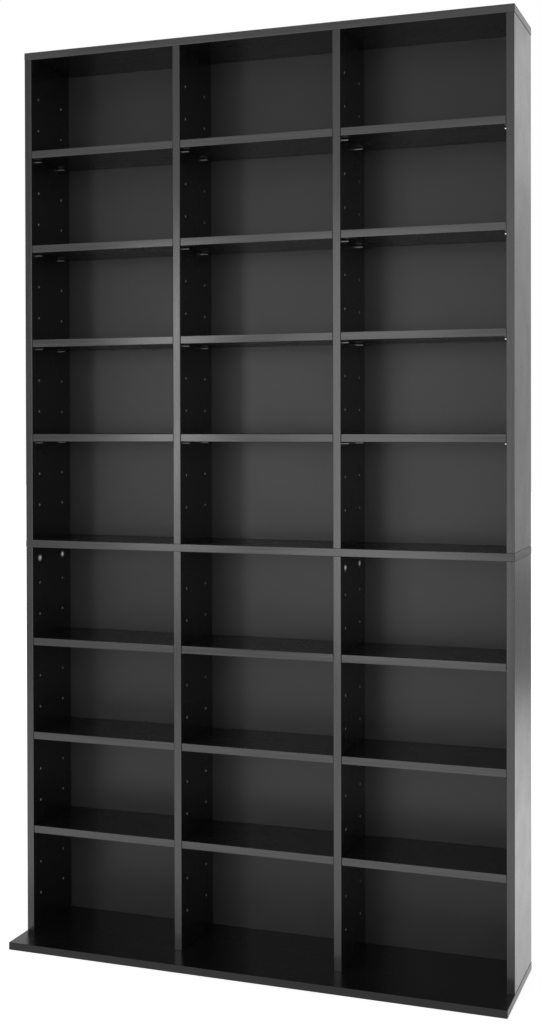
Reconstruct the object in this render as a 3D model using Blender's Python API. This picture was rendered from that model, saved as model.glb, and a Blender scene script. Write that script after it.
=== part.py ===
"""Tall open-fronted rack for discs, made of black laminated board.

Two modules stand one on the other on a projecting base board. Each has two sides and
two dividers, which give three columns of cells. A full-width middle board parts the
modules and a top board closes the upper one. Loose shelves lie on steel pins, so each
can be drawn out forwards. Thin backs slide in grooves of the uprights.

Units are metres, +Z is up and the open front faces -Y. The origin lies on the floor at
the centre of the whole outline.
"""

import math

import bmesh
import bpy
from mathutils import Matrix, Vector

# Cells and modules
COLUMN_NAMES = ("left", "centre", "right")
UPRIGHT_NAMES = ("left_side", "left_divider", "right_divider", "right_side")
LOWER_SHELF_LEVELS = 3
UPPER_SHELF_LEVELS = 4
CELL_WIDTH = 0.313

# Boards
UPRIGHT_THICKNESS = 0.015
BOARD_THICKNESS = 0.015
SHELF_THICKNESS = 0.015
CARCASS_DEPTH = 0.176
BASE_PROJECTION = 0.075
BOARD_END_PROUD = 0.0005
EDGE_CHAMFER = 0.0006
SEAT_GAP = 0.0003

# Shelf-pin holes and pins
FREE_HOLES = 2
HOLE_PITCH = 0.064
HOLE_FOOT_MARGIN = 0.070
HOLE_HEAD_MARGIN = 0.0745
HOLE_DIAMETER = 0.005
HOLE_DEPTH = 0.010
FRONT_ROW_INSET = 0.030
REAR_ROW_SETBACK = 0.048
PIN_DIAMETER = 0.005
PIN_PROUD = 0.008
PIN_EMBED = 0.007

# Shelves
SHELF_SIDE_CLEARANCE = 0.0005
SHELF_FRONT_RECESS = 0.001
SHELF_REAR_CLEARANCE = 0.003

# Backs and their grooves
BACK_THICKNESS = 0.003
BACK_INSET = 0.008
GROOVE_DEPTH = 0.005
GROOVE_CLEARANCE = 0.0003

# Cam locks and the bolts that they grip
CAM_DIAMETER = 0.015
CAM_DROP = 0.024
CAM_BACK_WALL = 0.003
CAM_FACE_RECESS = 0.0002
CAM_CLEARANCE = 0.0002
BOLT_HEAD_DIAMETER = 0.007
BOLT_HEAD_HEIGHT = 0.003
BOLT_NECK_DIAMETER = 0.0045
BOLT_NECK_LENGTH = 0.006
BOLT_SHANK_DIAMETER = 0.006
BOLT_THREAD_DIAMETER = 0.005
BOLT_THREAD_LENGTH = 0.009

# Drive crosses of the cams and the screws
CAM_CROSS_SPAN = 0.008
CAM_CROSS_WIDTH = 0.0016
CAM_CROSS_DEPTH = 0.0015
SCREW_CROSS_SPAN = 0.004
SCREW_CROSS_WIDTH = 0.0009
SCREW_CROSS_DEPTH = 0.0016

# Foot screws
SCREW_LENGTH = 0.045
SCREW_DIAMETER = 0.004
SCREW_HEAD_DIAMETER = 0.008
SCREW_HEAD_HEIGHT = 0.003
SCREW_TIP_LENGTH = 0.004
SCREW_HEAD_RECESS = 0.0005

# Wooden dowels in the ends of the uprights
DOWEL_DIAMETER = 0.008
DOWEL_PROUD = 0.010
DOWEL_EMBED = 0.018
DOWEL_ROW_OFFSET = 0.024

# Shared clearances
HOLE_CLEARANCE = 0.0002
DEPTH_CLEARANCE = 0.0005
CUT_OVERRUN = 0.002

# Counts of flat sides on round shapes
PIN_SIDES = 8
DOWEL_SIDES = 8
CAM_SIDES = 16
TURNED_SIDES = 8

# Angle between faces past which an edge of a round piece stays sharp
SHARP_ANGLE = math.radians(35)

# Places that follow from the sizes above
CARCASS_WIDTH = len(COLUMN_NAMES) * CELL_WIDTH + len(UPRIGHT_NAMES) * UPRIGHT_THICKNESS
BOARD_LENGTH = CARCASS_WIDTH + 2 * BOARD_END_PROUD
BASE_DEPTH = CARCASS_DEPTH + BASE_PROJECTION
BASE_FRONT = -BASE_DEPTH / 2
CARCASS_FRONT = BASE_FRONT + BASE_PROJECTION
BACK_REAR = CARCASS_DEPTH - BACK_INSET
BACK_FRONT = BACK_REAR - BACK_THICKNESS


def hole_heights(levels):
    """Return the heights of the pin holes over an upright's foot, lowest first."""
    count = levels * (FREE_HOLES + 1) + FREE_HOLES
    return [HOLE_FOOT_MARGIN + index * HOLE_PITCH for index in range(count)]


def pin_heights(levels):
    """Return the heights over an upright's foot of the holes that hold pins."""
    return hole_heights(levels)[FREE_HOLES::FREE_HOLES + 1]


def free_heights(levels):
    """Return the heights over an upright's foot of the holes left open."""
    return [height for height in hole_heights(levels) if height not in pin_heights(levels)]


def upright_height(levels):
    """Return the height of an upright that carries this many shelf levels."""
    return hole_heights(levels)[-1] + HOLE_HEAD_MARGIN


LOWER_HEIGHT = upright_height(LOWER_SHELF_LEVELS)
UPPER_HEIGHT = upright_height(UPPER_SHELF_LEVELS)
LOWER_FOOT = BOARD_THICKNESS + SEAT_GAP
MIDDLE_BOTTOM = LOWER_FOOT + LOWER_HEIGHT + SEAT_GAP
UPPER_FOOT = MIDDLE_BOTTOM + BOARD_THICKNESS + SEAT_GAP
TOP_BOTTOM = UPPER_FOOT + UPPER_HEIGHT + SEAT_GAP

# Each module: its name, where its uprights stand and its shelf levels
MODULES = (
    ("lower", LOWER_FOOT, LOWER_SHELF_LEVELS),
    ("upper", UPPER_FOOT, UPPER_SHELF_LEVELS),
)

# The faces of each upright that look into a cell, as signs along X
UPRIGHT_FACES = {
    "left_side": (1,),
    "left_divider": (-1, 1),
    "right_divider": (-1, 1),
    "right_side": (-1,),
}

# The face that each lower upright's cams sit in, mirrored from left to right
CAM_FACE = {
    "left_side": 1,
    "left_divider": -1,
    "right_divider": 1,
    "right_side": -1,
}


def upright_centre(index):
    """Return the X of the middle of an upright, counted from the left."""
    left = -CARCASS_WIDTH / 2 + UPRIGHT_THICKNESS / 2
    return left + index * (CELL_WIDTH + UPRIGHT_THICKNESS)


def cell_centre(index):
    """Return the X of the middle of a column of cells, counted from the left."""
    return (upright_centre(index) + upright_centre(index + 1)) / 2


def clear_scene():
    """Remove whatever objects the file holds."""
    for old in list(bpy.data.objects):
        bpy.data.objects.remove(old, do_unlink=True)


def make_material(name, colour, roughness, metallic):
    """Return a Principled material with this colour, roughness and metallic value."""
    material = bpy.data.materials.new(name)
    material.use_nodes = True
    shader = material.node_tree.nodes["Principled BSDF"]
    shader.inputs["Base Color"].default_value = (*colour, 1.0)
    shader.inputs["Roughness"].default_value = roughness
    shader.inputs["Metallic"].default_value = metallic
    return material


def black_laminate():
    """Satin black melamine on the boards, shelves and uprights."""
    return make_material("black_laminate", (0.018, 0.018, 0.019), 0.32, 0.0)


def black_hardboard():
    """Painted black face of the thin backs."""
    return make_material("black_hardboard", (0.024, 0.024, 0.025), 0.45, 0.0)


def zinc_casting():
    """Bright cast zinc of the cam locks."""
    return make_material("zinc_casting", (0.62, 0.62, 0.63), 0.35, 1.0)


def plated_steel():
    """Plated steel of the cam bolts and the foot screws."""
    return make_material("plated_steel", (0.70, 0.70, 0.71), 0.28, 1.0)


def add_box(mesh, low, high):
    """Add a closed box between two corners."""
    matrix = Matrix.Translation((low + high) / 2) @ Matrix.Diagonal((*(high - low), 1.0))
    bmesh.ops.create_cube(mesh, size=1.0, matrix=matrix)


def add_rod(mesh, start, end, radius, sides):
    """Add a closed round rod between two points."""
    along = end - start
    turn = Vector((0, 0, 1)).rotation_difference(along).to_matrix().to_4x4()
    matrix = Matrix.Translation((start + end) / 2) @ turn
    bmesh.ops.create_cone(
        mesh, cap_ends=True, segments=sides, radius1=radius, radius2=radius,
        depth=along.length, matrix=matrix)


def add_turned(mesh, profile, sides):
    """Add a closed solid turned about Z from (radius, height) points, lowest first.

    The first and last points lie on the axis.
    """
    poles = [mesh.verts.new((0, 0, height)) for _, height in (profile[0], profile[-1])]
    rings = []
    for radius, height in profile[1:-1]:
        ring = []
        for step in range(sides):
            angle = 2 * math.pi * step / sides
            ring.append(mesh.verts.new((radius * math.cos(angle), radius * math.sin(angle), height)))
        rings.append(ring)
    for step in range(sides):
        following = (step + 1) % sides
        mesh.faces.new((poles[0], rings[0][following], rings[0][step]))
        mesh.faces.new((poles[1], rings[-1][step], rings[-1][following]))
        for below, above in zip(rings, rings[1:]):
            mesh.faces.new((below[step], below[following], above[following], above[step]))


def add_cross(mesh, span, width, low, high):
    """Add a closed upright prism with the outline of a plus sign."""
    arm = span / 2
    half = width / 2
    corner = ((half, arm), (half, half), (arm, half), (arm, -half), (half, -half), (half, -arm))
    outline = [*corner, *((-x, -y) for x, y in corner)]
    bottom = [mesh.verts.new((x, y, low)) for x, y in outline]
    face = mesh.faces.new(bottom)
    raised = bmesh.ops.extrude_face_region(mesh, geom=[face])["geom"]
    lifted = [item for item in raised if isinstance(item, bmesh.types.BMVert)]
    bmesh.ops.translate(mesh, verts=lifted, vec=Vector((0, 0, high - low)))
    bmesh.ops.recalc_face_normals(mesh, faces=mesh.faces)


def finish_object(name, mesh, material, location, round_piece=False):
    """Turn a bmesh into a named object of this material at this place."""
    data = bpy.data.meshes.new(name)
    mesh.to_mesh(data)
    mesh.free()
    if material is not None:
        data.materials.append(material)
    if round_piece:
        data.shade_smooth()
        data.set_sharp_from_angle(angle=SHARP_ANGLE)
    piece = bpy.data.objects.new(name, data)
    piece.location = location
    bpy.context.scene.collection.objects.link(piece)
    return piece


def combine(piece, mesh, operation, label):
    """Cut a helper mesh out of a piece or join it on, in the piece's own space."""
    helper = finish_object(piece.name + "_" + label, mesh, None, Vector((0, 0, 0)))
    helper.parent = piece
    helper.hide_render = True
    helper.display_type = "WIRE"
    modifier = piece.modifiers.new(label, "BOOLEAN")
    modifier.operation = operation
    modifier.solver = "EXACT"
    modifier.object = helper


def runs_upright(edge):
    """Tell whether an edge runs along Z."""
    along = edge.verts[1].co - edge.verts[0].co
    return abs(along.z) > abs(along.x) + abs(along.y)


def board_mesh(low, high, square_ends=False):
    """Return a board between two corners, its edges lightly chamfered.

    An upright's ends stay square, because they butt against the boards.
    """
    mesh = bmesh.new()
    add_box(mesh, low, high)
    edges = [edge for edge in mesh.edges if runs_upright(edge) or not square_ends]
    bmesh.ops.bevel(mesh, geom=edges, offset=EDGE_CHAMFER, segments=1, affect="EDGES")
    return mesh


def screw_profile(clearance):
    """Return a foot screw's half outline from head to tip, grown by a clearance."""
    shank = SCREW_DIAMETER / 2 + clearance
    head = SCREW_HEAD_DIAMETER / 2 + clearance
    shoulder = SCREW_HEAD_RECESS + SCREW_HEAD_HEIGHT
    end = SCREW_HEAD_RECESS + SCREW_LENGTH + clearance
    return [
        (0, SCREW_HEAD_RECESS),
        (head, SCREW_HEAD_RECESS),
        (shank, shoulder),
        (shank, end - SCREW_TIP_LENGTH),
        (shank / 4, end),
        (0, end),
    ]


def add_screw_hole(mesh, place):
    """Add the countersunk hole of a foot screw, open below, to a cutting mesh."""
    cut = bmesh.new()
    profile = screw_profile(HOLE_CLEARANCE)
    mouth = profile[1][0]
    profile[0] = (0, -CUT_OVERRUN)
    profile.insert(1, (mouth, -CUT_OVERRUN))
    add_turned(cut, profile, TURNED_SIDES)
    bmesh.ops.translate(cut, verts=cut.verts, vec=place)
    merge_into(mesh, cut)


def merge_into(mesh, other):
    """Add one bmesh to another as it stands, and free it."""
    data = bpy.data.meshes.new("merge")
    other.to_mesh(data)
    other.free()
    mesh.from_mesh(data)
    bpy.data.meshes.remove(data)


def row_places():
    """Return how far behind the carcass front the pin rows and cams lie."""
    return (FRONT_ROW_INSET, CARCASS_DEPTH - REAR_ROW_SETBACK)


def dowel_places():
    """Return how far behind the carcass front the dowels stand, between the rows."""
    front, rear = row_places()
    return (front + DOWEL_ROW_OFFSET, rear - DOWEL_ROW_OFFSET)


def screw_place():
    """Return how far behind the carcass front the foot screws stand, midway between the rows."""
    return sum(row_places()) / 2


def add_pin_holes(cuts, faces, levels):
    """Add the open pin holes of an upright: blind in a side, through in a divider."""
    half = UPRIGHT_THICKNESS / 2
    for height in free_heights(levels):
        for inset in row_places():
            if len(faces) > 1:
                start = Vector((-half - CUT_OVERRUN, inset, height))
                end = Vector((half + CUT_OVERRUN, inset, height))
            else:
                start = Vector((faces[0] * (half - HOLE_DEPTH), inset, height))
                end = Vector((faces[0] * (half + CUT_OVERRUN), inset, height))
            add_rod(cuts, start, end, HOLE_DIAMETER / 2, PIN_SIDES)


def add_pins(fittings, faces, levels):
    """Add the shelf pins pressed into an upright."""
    half = UPRIGHT_THICKNESS / 2
    for height in pin_heights(levels):
        for inset in row_places():
            reach = half + PIN_PROUD
            inner = -reach if len(faces) > 1 else half - PIN_EMBED
            start = Vector((faces[-1] * inner, inset, height))
            end = Vector((faces[-1] * reach, inset, height))
            add_rod(fittings, start, end, PIN_DIAMETER / 2, PIN_SIDES)


def add_grooves(cuts, faces, levels):
    """Add the grooves that the backs slide in, from end to end of an upright."""
    half = UPRIGHT_THICKNESS / 2
    for face in faces:
        across = sorted((face * (half - GROOVE_DEPTH), face * (half + CUT_OVERRUN)))
        low = Vector((across[0], BACK_FRONT - GROOVE_CLEARANCE, -CUT_OVERRUN))
        high = Vector((across[1], BACK_REAR + GROOVE_CLEARANCE, upright_height(levels) + CUT_OVERRUN))
        add_box(cuts, low, high)


def add_cam_seats(cuts, face, levels):
    """Add the cam pockets in one face and the bolt holes that run down to them."""
    half = UPRIGHT_THICKNESS / 2
    top = upright_height(levels)
    for inset in row_places():
        mouth = Vector((face * (half + CUT_OVERRUN), inset, top - CAM_DROP))
        floor = Vector((face * (CAM_BACK_WALL - half), inset, top - CAM_DROP))
        add_rod(cuts, floor, mouth, CAM_DIAMETER / 2 + CAM_CLEARANCE, CAM_SIDES)


def add_bolt_holes(cuts, levels):
    """Add the holes that run from an upright's top end down to its cams."""
    top = upright_height(levels)
    for inset in row_places():
        start = Vector((0, inset, top - CAM_DROP))
        end = Vector((0, inset, top + CUT_OVERRUN))
        add_rod(cuts, start, end, BOLT_HEAD_DIAMETER / 2 + HOLE_CLEARANCE, TURNED_SIDES)


def add_dowels(fittings, end, direction):
    """Add the dowels glued into one end of an upright."""
    for inset in dowel_places():
        start = Vector((0, inset, end - direction * DOWEL_EMBED))
        tip = Vector((0, inset, end + direction * DOWEL_PROUD))
        add_rod(fittings, start, tip, DOWEL_DIAMETER / 2, DOWEL_SIDES)


def make_upright(module, index, foot, levels, material):
    """Make one side or divider with its holes, grooves, pins and dowels."""
    name = UPRIGHT_NAMES[index]
    faces = UPRIGHT_FACES[name]
    half = UPRIGHT_THICKNESS / 2
    height = upright_height(levels)
    low = Vector((-half, 0, 0))
    high = Vector((half, CARCASS_DEPTH, height))
    place = Vector((upright_centre(index), CARCASS_FRONT, foot))
    shape = board_mesh(low, high, square_ends=True)
    body = finish_object(module + "_" + name, shape, material, place)

    cuts = bmesh.new()
    add_pin_holes(cuts, faces, levels)
    add_grooves(cuts, faces, levels)
    if module == "lower":
        add_screw_hole(cuts, Vector((0, screw_place(), -foot)))
        add_cam_seats(cuts, CAM_FACE[name], levels)
    combine(body, cuts, "DIFFERENCE", "cuts")
    if module == "lower":
        bolt_cuts = bmesh.new()
        add_bolt_holes(bolt_cuts, levels)
        combine(body, bolt_cuts, "DIFFERENCE", "bolt_cuts")

    fittings = bmesh.new()
    add_pins(fittings, faces, levels)
    add_dowels(fittings, 0, -1)
    if module == "upper":
        add_dowels(fittings, height, 1)
    combine(body, fittings, "UNION", "fittings")


def make_long_board(name, front, bottom, material):
    """Make a board of full length, from its front edge back to the carcass rear."""
    half = BOARD_LENGTH / 2
    low = Vector((-half, front, 0))
    high = Vector((half, CARCASS_FRONT + CARCASS_DEPTH, BOARD_THICKNESS))
    return finish_object(name, board_mesh(low, high), material, Vector((0, 0, bottom)))


def add_dowel_holes(cuts, surface, direction):
    """Add the blind holes that the uprights' dowels enter, in one face of a board."""
    for index in range(len(UPRIGHT_NAMES)):
        for inset in dowel_places():
            x = upright_centre(index)
            y = CARCASS_FRONT + inset
            floor = surface - direction * (DOWEL_PROUD + DEPTH_CLEARANCE)
            mouth = surface + direction * CUT_OVERRUN
            add_rod(cuts, Vector((x, y, floor)), Vector((x, y, mouth)),
                    DOWEL_DIAMETER / 2 + HOLE_CLEARANCE, DOWEL_SIDES)


def make_base_board(material):
    """Make the base board, which runs forward past the carcass."""
    board = make_long_board("base_board", BASE_FRONT, 0, material)
    cuts = bmesh.new()
    add_dowel_holes(cuts, BOARD_THICKNESS, 1)
    for index in range(len(UPRIGHT_NAMES)):
        add_screw_hole(cuts, Vector((upright_centre(index), CARCASS_FRONT + screw_place(), 0)))
    combine(board, cuts, "DIFFERENCE", "cuts")


def make_middle_board(material):
    """Make the board between the modules."""
    board = make_long_board("middle_board", CARCASS_FRONT, MIDDLE_BOTTOM, material)
    cuts = bmesh.new()
    add_dowel_holes(cuts, BOARD_THICKNESS, 1)
    for index in range(len(UPRIGHT_NAMES)):
        for inset in row_places():
            x = upright_centre(index)
            y = CARCASS_FRONT + inset
            floor = BOLT_THREAD_LENGTH + DEPTH_CLEARANCE
            add_rod(cuts, Vector((x, y, -CUT_OVERRUN)), Vector((x, y, floor)),
                    BOLT_THREAD_DIAMETER / 2 + HOLE_CLEARANCE, TURNED_SIDES)
    combine(board, cuts, "DIFFERENCE", "cuts")


def make_top_board(material):
    """Make the board that closes the upper module."""
    board = make_long_board("top_board", CARCASS_FRONT, TOP_BOTTOM, material)
    cuts = bmesh.new()
    add_dowel_holes(cuts, 0, -1)
    combine(board, cuts, "DIFFERENCE", "cuts")


def make_shelf(module, column, level, foot, pin_height, material):
    """Make one loose shelf lying on its four pins, with its origin in its middle."""
    half_width = CELL_WIDTH / 2 - SHELF_SIDE_CLEARANCE
    depth = BACK_FRONT - SHELF_REAR_CLEARANCE - SHELF_FRONT_RECESS
    corner = Vector((half_width, depth / 2, SHELF_THICKNESS / 2))
    bottom = foot + pin_height + PIN_DIAMETER / 2 + SEAT_GAP
    place = Vector((
        cell_centre(column),
        CARCASS_FRONT + SHELF_FRONT_RECESS + depth / 2,
        bottom + SHELF_THICKNESS / 2,
    ))
    name = module + "_" + COLUMN_NAMES[column] + "_shelf_" + str(level + 1)
    finish_object(name, board_mesh(-corner, corner), material, place)


def make_back(module, column, foot, levels, material):
    """Make one thin back, held in the grooves of the uprights beside it."""
    half_width = CELL_WIDTH / 2 + GROOVE_DEPTH - DEPTH_CLEARANCE
    mesh = bmesh.new()
    low = Vector((-half_width, BACK_FRONT, 0))
    high = Vector((half_width, BACK_REAR, upright_height(levels)))
    add_box(mesh, low, high)
    place = Vector((cell_centre(column), CARCASS_FRONT, foot))
    finish_object(module + "_" + COLUMN_NAMES[column] + "_back", mesh, material, place)


def cam_name(index, row):
    """Return the name of a cam lock in a lower upright."""
    return "lower_" + UPRIGHT_NAMES[index] + "_" + ("front", "rear")[row] + "_cam"


def make_cam(index, row, material):
    """Make one cam lock: a disc with a drive cross, slotted behind for the bolt's head."""
    half = UPRIGHT_THICKNESS / 2
    face = CAM_FACE[UPRIGHT_NAMES[index]]
    length = UPRIGHT_THICKNESS - CAM_BACK_WALL - CAM_FACE_RECESS - CAM_CLEARANCE
    bolt_depth = half - CAM_FACE_RECESS
    slot_half = BOLT_HEAD_DIAMETER / 2 + CAM_CLEARANCE
    mesh = bmesh.new()
    add_rod(mesh, Vector((0, 0, -length)), Vector((0, 0, 0)), CAM_DIAMETER / 2, CAM_SIDES)
    turn = Matrix.Rotation(face * math.pi / 2, 4, "Y")
    bmesh.ops.transform(mesh, matrix=turn, verts=mesh.verts)
    place = Vector((
        upright_centre(index) + face * (half - CAM_FACE_RECESS),
        CARCASS_FRONT + row_places()[row],
        MIDDLE_BOTTOM - SEAT_GAP - CAM_DROP,
    ))
    cam = finish_object(cam_name(index, row), mesh, material, place, round_piece=True)

    slot = bmesh.new()
    deep = sorted((-face * (bolt_depth - slot_half), -face * (length + CUT_OVERRUN)))
    low = Vector((deep[0], -slot_half, -BOLT_HEAD_HEIGHT / 2 - CAM_CLEARANCE))
    high = Vector((deep[1], slot_half, CAM_DIAMETER / 2 + CUT_OVERRUN))
    add_box(slot, low, high)
    combine(cam, slot, "DIFFERENCE", "slot")

    cross = bmesh.new()
    add_cross(cross, CAM_CROSS_SPAN, CAM_CROSS_WIDTH, -CAM_CROSS_DEPTH, CUT_OVERRUN)
    bmesh.ops.transform(cross, matrix=turn, verts=cross.verts)
    combine(cam, cross, "DIFFERENCE", "cross")


def make_cam_bolt(index, row, material):
    """Make one cam bolt: screwed up into the middle board, its head down in the cam."""
    head_bottom = -SEAT_GAP - CAM_DROP - BOLT_HEAD_HEIGHT / 2
    head_top = head_bottom + BOLT_HEAD_HEIGHT
    neck_top = head_top + BOLT_NECK_LENGTH
    profile = [
        (0, head_bottom),
        (BOLT_HEAD_DIAMETER / 2, head_bottom),
        (BOLT_HEAD_DIAMETER / 2, head_top),
        (BOLT_NECK_DIAMETER / 2, head_top),
        (BOLT_NECK_DIAMETER / 2, neck_top),
        (BOLT_SHANK_DIAMETER / 2, neck_top),
        (BOLT_SHANK_DIAMETER / 2, -SEAT_GAP),
        (BOLT_THREAD_DIAMETER / 2, -SEAT_GAP),
        (BOLT_THREAD_DIAMETER / 2, BOLT_THREAD_LENGTH),
        (0, BOLT_THREAD_LENGTH),
    ]
    mesh = bmesh.new()
    add_turned(mesh, profile, TURNED_SIDES)
    place = Vector((upright_centre(index), CARCASS_FRONT + row_places()[row], MIDDLE_BOTTOM))
    finish_object(cam_name(index, row) + "_bolt", mesh, material, place, round_piece=True)


def make_foot_screw(index, material):
    """Make one countersunk screw that holds an upright down on the base board."""
    mesh = bmesh.new()
    add_turned(mesh, screw_profile(0), TURNED_SIDES)
    place = Vector((upright_centre(index), CARCASS_FRONT + screw_place(), 0))
    name = "lower_" + UPRIGHT_NAMES[index] + "_foot_screw"
    screw = finish_object(name, mesh, material, place, round_piece=True)
    cross = bmesh.new()
    add_cross(cross, SCREW_CROSS_SPAN, SCREW_CROSS_WIDTH,
              -CUT_OVERRUN, SCREW_HEAD_RECESS + SCREW_CROSS_DEPTH)
    combine(screw, cross, "DIFFERENCE", "cross")


def build_rack():
    """Make every piece of the rack."""
    clear_scene()
    laminate = black_laminate()
    hardboard = black_hardboard()
    zinc = zinc_casting()
    steel = plated_steel()

    make_base_board(laminate)
    make_middle_board(laminate)
    make_top_board(laminate)
    for module, foot, levels in MODULES:
        for index in range(len(UPRIGHT_NAMES)):
            make_upright(module, index, foot, levels, laminate)
        for column in range(len(COLUMN_NAMES)):
            make_back(module, column, foot, levels, hardboard)
            for level, pin_height in enumerate(pin_heights(levels)):
                make_shelf(module, column, level, foot, pin_height, laminate)
    for index in range(len(UPRIGHT_NAMES)):
        make_foot_screw(index, steel)
        for row in range(len(row_places())):
            make_cam(index, row, zinc)
            make_cam_bolt(index, row, steel)


build_rack()
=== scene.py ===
"""Looks of a tall open rack for discs, made of black laminated board.

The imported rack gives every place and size. Each board is modelled again here with
rounded arrises, banded edges and drilled holes, and the pins, cam locks, bolts, screws
and dowels get their turned forms. Units are metres, +Z is up and the front faces -Y.
"""

import logging
import math
from collections.abc import Callable, Iterable, Iterator, Sequence
from contextlib import contextmanager
from dataclasses import dataclass
from enum import Enum

import bmesh
import bpy
from mathutils import Matrix, Vector


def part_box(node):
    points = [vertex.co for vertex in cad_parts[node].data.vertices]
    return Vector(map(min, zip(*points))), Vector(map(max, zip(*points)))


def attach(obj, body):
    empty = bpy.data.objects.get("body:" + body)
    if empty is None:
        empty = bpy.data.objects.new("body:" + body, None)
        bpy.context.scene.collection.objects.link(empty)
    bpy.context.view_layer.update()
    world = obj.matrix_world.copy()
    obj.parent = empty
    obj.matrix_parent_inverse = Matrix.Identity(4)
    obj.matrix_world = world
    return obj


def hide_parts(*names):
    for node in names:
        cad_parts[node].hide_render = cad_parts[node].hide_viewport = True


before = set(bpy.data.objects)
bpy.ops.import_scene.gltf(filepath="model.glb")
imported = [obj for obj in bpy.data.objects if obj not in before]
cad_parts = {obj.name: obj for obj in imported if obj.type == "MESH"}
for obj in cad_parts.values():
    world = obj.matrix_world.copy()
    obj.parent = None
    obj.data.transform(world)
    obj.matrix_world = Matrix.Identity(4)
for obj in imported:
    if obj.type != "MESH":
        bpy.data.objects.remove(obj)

Object = bpy.types.Object
Material = bpy.types.Material
Socket = bpy.types.NodeSocket
Triple = tuple[float, float, float]
Marks = tuple[tuple[float, float], ...]

LOG = logging.getLogger("disc_rack")
CARCASS_BODY = "carcass"
BASE_BOARD = "base_board"
MIDDLE_BOARD = "middle_board"
LONG_BOARDS = (BASE_BOARD, MIDDLE_BOARD, "top_board")
HOLE_SIDES = 24
UP = Vector((0, 0, 1))

# The largest angles that are shaded over on boards and on turned pieces
BOARD_ANGLE = math.radians(31)
TURNED_ANGLE = math.radians(40)

# The least cosine at which a face is taken to look a given way
FACING = 0.9

# How far a cutter reaches past the face that it enters by
OVERRUN = 0.002


class Slot(Enum):
    """The record's material slots, one for each kind of finish."""

    LAMINATE = "board_laminate"
    HARDBOARD = "back_hardboard"
    ZINC = "zinc_casting"
    STEEL = "plated_steel"


class Part(Enum):
    """The kinds of mesh element that a test can pick in edit mode."""

    VERT = "verts"
    EDGE = "edges"
    FACE = "faces"


class Run(Enum):
    """Which way a board's edge band was rolled on, as a stretch of its pattern."""

    LEVEL = (0.02, 1.0, 1.0)
    UPRIGHT = (1.0, 1.0, 0.02)
    END = (1.0, 0.02, 1.0)


class Module(Enum):
    """The two stacked modules of the rack, by the start of their nodes' names."""

    LOWER = "lower"
    UPPER = "upper"


COLUMNS = ("left", "centre", "right")
ROWS = ("front", "rear")

# The uprights from left to right, and their faces that look into a cell, as signs along X
CELL_FACES = {
    "left_side": (1,),
    "left_divider": (-1, 1),
    "right_divider": (-1, 1),
    "right_side": (-1,),
}
FACE_NAMES = {-1: "left_face", 1: "right_face"}


# Modelling by hand, one piece at a time


def deselect_all() -> None:
    """Leave nothing selected."""
    bpy.ops.object.select_all(action="DESELECT")


def activate(piece: Object) -> None:
    """Select one piece alone and make it the active one.

    Args:
        piece: The piece.
    """
    deselect_all()
    piece.select_set(True)
    bpy.context.view_layer.objects.active = piece


@contextmanager
def editing(piece: Object, part: Part) -> Iterator[None]:
    """Open a piece in edit mode, picking one kind of element, and close it again.

    Args:
        piece: The piece to edit.
        part: The kind of element that the tools act on.

    Yields:
        Nothing, while the piece is open.
    """
    activate(piece)
    bpy.ops.object.mode_set(mode="EDIT")
    bpy.ops.mesh.select_mode(type=part.name)
    yield
    bpy.ops.object.mode_set(mode="OBJECT")


def pick(piece: Object, part: Part, test: Callable[..., bool]) -> None:
    """Select the elements of a piece in edit mode that pass a test, and no others.

    Args:
        piece: The piece that is open in edit mode.
        part: The kind of element to test.
        test: Says of one element whether it is picked.
    """
    bpy.ops.mesh.select_all(action="DESELECT")
    mesh = bmesh.from_edit_mesh(piece.data)
    for element in getattr(mesh, part.value):
        if test(element):
            element.select_set(True)
    mesh.select_flush_mode()
    bmesh.update_edit_mesh(piece.data)


def settle(name: str) -> Object:
    """Name the primitive that was just added and put its place into its mesh.

    Args:
        name: The piece's name.

    Returns:
        The piece.
    """
    piece = bpy.context.object
    piece.name = name
    piece.data.name = name
    bpy.ops.object.transform_apply(location=True, rotation=True, scale=True)
    return piece


def add_block(name: str, low: Vector, high: Vector) -> Object:
    """Add a block between two corners, as the start of a board.

    Args:
        name: The piece's name.
        low: Its lowest corner.
        high: Its highest corner.

    Returns:
        The new piece.
    """
    deselect_all()
    bpy.ops.mesh.primitive_cube_add(size=1.0, location=(low + high) / 2, scale=high - low)
    return settle(name)


def add_rod(start: Vector, end: Vector, radius: float, sides: int = HOLE_SIDES) -> Object:
    """Add a round rod between two points, as a drill.

    Args:
        start: The middle of its first end.
        end: The middle of its other end.
        radius: Its radius.
        sides: How many flat sides it has.

    Returns:
        The new rod.
    """
    along = end - start
    deselect_all()
    bpy.ops.mesh.primitive_cylinder_add(
        vertices=sides, radius=radius, depth=along.length,
        location=(start + end) / 2, rotation=UP.rotation_difference(along).to_euler())
    return settle("drill")


def add_turned(name: str, profile: Marks, sides: int) -> Object:
    """Turn a solid about Z by drawing a disc upwards and resizing its rim as it goes.

    Args:
        name: The piece's name.
        profile: Its outline as (radius, height) points, lowest first.
        sides: How many flat sides it has.

    Returns:
        The new piece.
    """
    radius, height = profile[0]
    deselect_all()
    bpy.ops.mesh.primitive_circle_add(
        vertices=sides, radius=radius, fill_type="NGON", location=(0, 0, height))
    piece = settle(name)
    with editing(piece, Part.FACE):
        bpy.ops.mesh.select_all(action="SELECT")
        for next_radius, next_height in profile[1:]:
            rise = (0, 0, next_height - height)
            bpy.ops.mesh.extrude_region_move(TRANSFORM_OT_translate={"value": rise})
            share = next_radius / radius
            bpy.ops.transform.resize(value=(share, share, 1), center_override=(0, 0, next_height))
            radius, height = next_radius, next_height
        bpy.ops.mesh.select_all(action="SELECT")
        bpy.ops.mesh.normals_make_consistent(inside=False)
    return piece


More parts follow.
